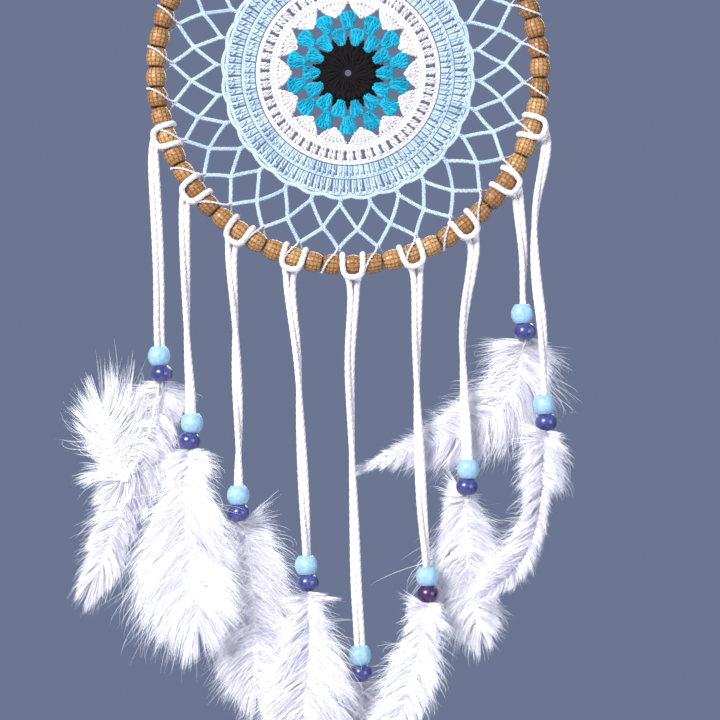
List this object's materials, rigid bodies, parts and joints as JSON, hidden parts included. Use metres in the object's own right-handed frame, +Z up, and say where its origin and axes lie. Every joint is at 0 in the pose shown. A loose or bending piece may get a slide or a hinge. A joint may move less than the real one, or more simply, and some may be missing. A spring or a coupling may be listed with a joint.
{
  "type": "dream catcher",
  "caption": "Dream catcher: ring of wooden beads round a crocheted eye on a net, with hanging cords that end in painted beads and white feathers.",
  "frame": {"origin": "the hoop wire's centreline at the top of the hoop, where the object hangs; the hoop's middle is 96 mm below it", "axes": "+Z up, the front faces -Y, +X to the right when looking at the front"},
  "size_m": [0.243, 0.0197, 0.4944],
  "materials": {
    "wire": "satin",
    "hoop_wood": "satin",
    "black_yarn": "matt",
    "turquoise_yarn": "matt",
    "white_yarn": "matt",
    "light_blue_yarn": "matt",
    "white_cord": "matt",
    "pale_blue_bead": "satin",
    "purple_bead": "gloss",
    "feather": "matt"
  },
  "bodies": {
    "hoop": {"hoop_wire": "wire", "hoop_beads": "hoop_wood", "black_centre_round": "black_yarn", "turquoise_round_inner": "turquoise_yarn", "turquoise_round_outer": "turquoise_yarn", "white_shell_round": "white_yarn", "white_mesh_round": "white_yarn", "blue_round_inner": "light_blue_yarn", "blue_round_outer": "light_blue_yarn", "chain_net": "light_blue_yarn", "lacing_thread": "white_yarn", "hitch_1": "white_cord", "hitch_2": "white_cord", "hitch_3": "white_cord", "hitch_4": "white_cord", "hitch_5": "white_cord", "hitch_6": "white_cord", "hitch_7": "white_cord", "hitch_8": "white_cord", "hitch_9": "white_cord"},
    "pendant_1": {"strands_1": "white_cord", "blue_bead_1": "pale_blue_bead", "purple_bead_1": "purple_bead", "feather_1": "feather", "feather_1_b": "feather"},
    "pendant_2": {"strands_2": "white_cord", "blue_bead_2": "pale_blue_bead", "purple_bead_2": "purple_bead", "feather_2": "feather"},
    "pendant_3": {"strands_3": "white_cord", "blue_bead_3": "pale_blue_bead", "purple_bead_3": "purple_bead", "feather_3": "feather"},
    "pendant_4": {"strands_4": "white_cord", "blue_bead_4": "pale_blue_bead", "purple_bead_4": "purple_bead", "feather_4": "feather"},
    "pendant_5": {"strands_5": "white_cord", "blue_bead_5": "pale_blue_bead", "purple_bead_5": "purple_bead", "feather_5": "feather"},
    "pendant_6": {"strands_6": "white_cord", "blue_bead_6": "pale_blue_bead", "purple_bead_6": "purple_bead", "feather_6": "feather"},
    "pendant_7": {"strands_7": "white_cord", "blue_bead_7": "pale_blue_bead", "purple_bead_7": "purple_bead", "feather_7": "feather"},
    "pendant_8": {"strands_8": "white_cord", "blue_bead_8": "pale_blue_bead", "purple_bead_8": "purple_bead", "feather_8": "feather"},
    "pendant_9": {"strands_9": "white_cord", "blue_bead_9": "pale_blue_bead", "purple_bead_9": "purple_bead", "feather_9": "feather"}
  },
  "joints": [
    {"name": "sway_1", "type": "hinge", "parent": "hoop", "child": "pendant_1", "pos_m": [-0.09843, 0, -0.13778], "axis": [0, 1, 0], "range_deg": [-3, 14]},
    {"name": "sway_2", "type": "hinge", "parent": "hoop", "child": "pendant_2", "pos_m": [-0.08373, 0, -0.16664], "axis": [0, 1, 0], "range_deg": [-6, 4]},
    {"name": "sway_3", "type": "hinge", "parent": "hoop", "child": "pendant_3", "pos_m": [-0.06084, 0, -0.18953], "axis": [0, 1, 0], "range_deg": [-9, 9]},
    {"name": "sway_4", "type": "hinge", "parent": "hoop", "child": "pendant_4", "pos_m": [-0.03198, 0, -0.20423], "axis": [0, 1, 0], "range_deg": [-6, 11]},
    {"name": "sway_5", "type": "hinge", "parent": "hoop", "child": "pendant_5", "pos_m": [0, 0, -0.2093], "axis": [0, 1, 0], "range_deg": [-7, 6]},
    {"name": "sway_6", "type": "hinge", "parent": "hoop", "child": "pendant_6", "pos_m": [0.03198, 0, -0.20423], "axis": [0, 1, 0], "range_deg": [-7, 9]},
    {"name": "sway_7", "type": "hinge", "parent": "hoop", "child": "pendant_7", "pos_m": [0.06084, 0, -0.18953], "axis": [0, 1, 0], "range_deg": [-14, 6]},
    {"name": "sway_8", "type": "hinge", "parent": "hoop", "child": "pendant_8", "pos_m": [0.08373, 0, -0.16664], "axis": [0, 1, 0], "range_deg": [-1, 14]},
    {"name": "sway_9", "type": "hinge", "parent": "hoop", "child": "pendant_9", "pos_m": [0.09843, 0, -0.13778], "axis": [0, 1, 0], "range_deg": [-14, 1]}
  ]
}
